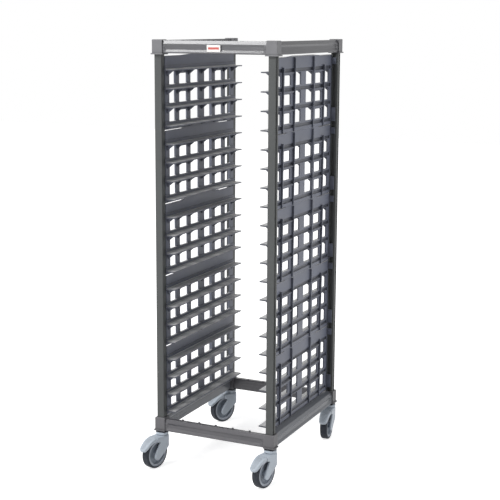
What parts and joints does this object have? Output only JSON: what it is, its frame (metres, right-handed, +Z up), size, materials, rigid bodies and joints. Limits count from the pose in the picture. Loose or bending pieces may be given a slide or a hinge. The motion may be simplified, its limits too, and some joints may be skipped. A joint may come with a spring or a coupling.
{
  "type": "sheet pan rack trolley",
  "caption": "Tall open-ended sheet pan trolley: posts and rails carry stacked lattice side panels with inward ledges, on swivel casters with brake pedals.",
  "frame": {"origin": "on the floor, in the middle of the whole footprint, brake pedals included", "axes": "+Z up, -Y out of the open loading end with the label, +X to the right of someone facing that end"},
  "size_m": [0.6133, 0.8242, 1.808],
  "materials": {
    "post": "warm graphite composite, faintly brushed",
    "rail": "warm graphite composite, satin",
    "corner_block": "mid grey moulding, satin",
    "panel": "bluish dark grey moulding, satin",
    "label": "blank white",
    "steel": "plain steel pins",
    "gasket": "black",
    "caster_body": "light blue-grey nylon",
    "wheel_hub": "grey nylon",
    "tyre": "dark grey tread"
  },
  "bodies": {
    "frame": {"front_left_post": "post", "front_left_bottom_corner": "corner_block", "front_left_top_corner": "corner_block", "front_right_post": "post", "front_right_bottom_corner": "corner_block", "front_right_top_corner": "corner_block", "rear_right_post": "post", "rear_right_bottom_corner": "corner_block", "rear_right_top_corner": "corner_block", "rear_left_post": "post", "rear_left_bottom_corner": "corner_block", "rear_left_top_corner": "corner_block", "bottom_front_rail": "rail", "bottom_rear_rail": "rail", "bottom_left_rail": "rail", "bottom_right_rail": "rail", "top_front_rail": "rail", "top_rear_rail": "rail", "top_left_rail": "rail", "top_right_rail": "rail", "left_panel_1": "panel", "left_panel_2": "panel", "left_panel_3": "panel", "left_panel_4": "panel", "left_panel_5": "panel", "right_panel_1": "panel", "right_panel_2": "panel", "right_panel_3": "panel", "right_panel_4": "panel", "right_panel_5": "panel", "label_plate": "label", "caster_stems": "steel", "caster_gaskets": "gasket", "caster_collars": "caster_body"},
    "front_left_caster": {"front_left_fork": "caster_body", "front_left_axle": "steel", "front_left_pedal_pin": "steel"},
    "front_left_wheel": {"front_left_wheel_hub": "wheel_hub", "front_left_tyre": "tyre"},
    "front_left_pedal": {"front_left_brake_pedal": "caster_body"},
    "front_right_caster": {"front_right_fork": "caster_body", "front_right_axle": "steel", "front_right_pedal_pin": "steel"},
    "front_right_wheel": {"front_right_wheel_hub": "wheel_hub", "front_right_tyre": "tyre"},
    "front_right_pedal": {"front_right_brake_pedal": "caster_body"},
    "rear_right_caster": {"rear_right_fork": "caster_body", "rear_right_axle": "steel", "rear_right_pedal_pin": "steel"},
    "rear_right_wheel": {"rear_right_wheel_hub": "wheel_hub", "rear_right_tyre": "tyre"},
    "rear_right_pedal": {"rear_right_brake_pedal": "caster_body"},
    "rear_left_caster": {"rear_left_fork": "caster_body", "rear_left_axle": "steel", "rear_left_pedal_pin": "steel"},
    "rear_left_wheel": {"rear_left_wheel_hub": "wheel_hub", "rear_left_tyre": "tyre"},
    "rear_left_pedal": {"rear_left_brake_pedal": "caster_body"}
  },
  "joints": [
    {"name": "front_left_swivel", "type": "hinge", "parent": "frame", "child": "front_left_caster", "pos_m": [-0.2366, -0.2799, 0.156], "axis": [0, 0, 1], "continuous": true},
    {"name": "front_left_roll", "type": "hinge", "parent": "front_left_caster", "child": "front_left_wheel", "pos_m": [-0.2474, -0.32667, 0.0635], "axis": [0.9744, -0.225, 0], "continuous": true},
    {"name": "front_left_brake", "type": "hinge", "parent": "front_left_caster", "child": "front_left_pedal", "pos_m": [-0.24875, -0.33252, 0.132], "axis": [0.9744, -0.225, 0], "range_deg": [0, 10]},
    {"name": "front_right_swivel", "type": "hinge", "parent": "frame", "child": "front_right_caster", "pos_m": [0.2724, -0.2799, 0.156], "axis": [0, 0, 1], "continuous": true},
    {"name": "front_right_roll", "type": "hinge", "parent": "front_right_caster", "child": "front_right_wheel", "pos_m": [0.26406, -0.32717, 0.0635], "axis": [0.9848, -0.1736, 0], "continuous": true},
    {"name": "front_right_brake", "type": "hinge", "parent": "front_right_caster", "child": "front_right_pedal", "pos_m": [0.26302, -0.33308, 0.132], "axis": [0.9848, -0.1736, 0], "range_deg": [0, 10]},
    {"name": "rear_right_swivel", "type": "hinge", "parent": "frame", "child": "rear_right_caster", "pos_m": [0.2724, 0.3841, 0.156], "axis": [0, 0, 1], "continuous": true},
    {"name": "rear_right_roll", "type": "hinge", "parent": "rear_right_caster", "child": "rear_right_wheel", "pos_m": [0.27825, 0.33646, 0.0635], "axis": [0.9925, 0.1219, 0], "continuous": true},
    {"name": "rear_right_brake", "type": "hinge", "parent": "rear_right_caster", "child": "rear_right_pedal", "pos_m": [0.27898, 0.3305, 0.132], "axis": [0.9925, 0.1219, 0], "range_deg": [0, 10]},
    {"name": "rear_left_swivel", "type": "hinge", "parent": "frame", "child": "rear_left_caster", "pos_m": [-0.2366, 0.3841, 0.156], "axis": [0, 0, 1], "continuous": true},
    {"name": "rear_left_roll", "type": "hinge", "parent": "rear_left_caster", "child": "rear_left_wheel", "pos_m": [-0.25689, 0.3406, 0.0635], "axis": [0.9063, -0.4226, 0], "continuous": true},
    {"name": "rear_left_brake", "type": "hinge", "parent": "rear_left_caster", "child": "rear_left_pedal", "pos_m": [-0.25942, 0.33516, 0.132], "axis": [0.9063, -0.4226, 0], "range_deg": [0, 10]}
  ]
}
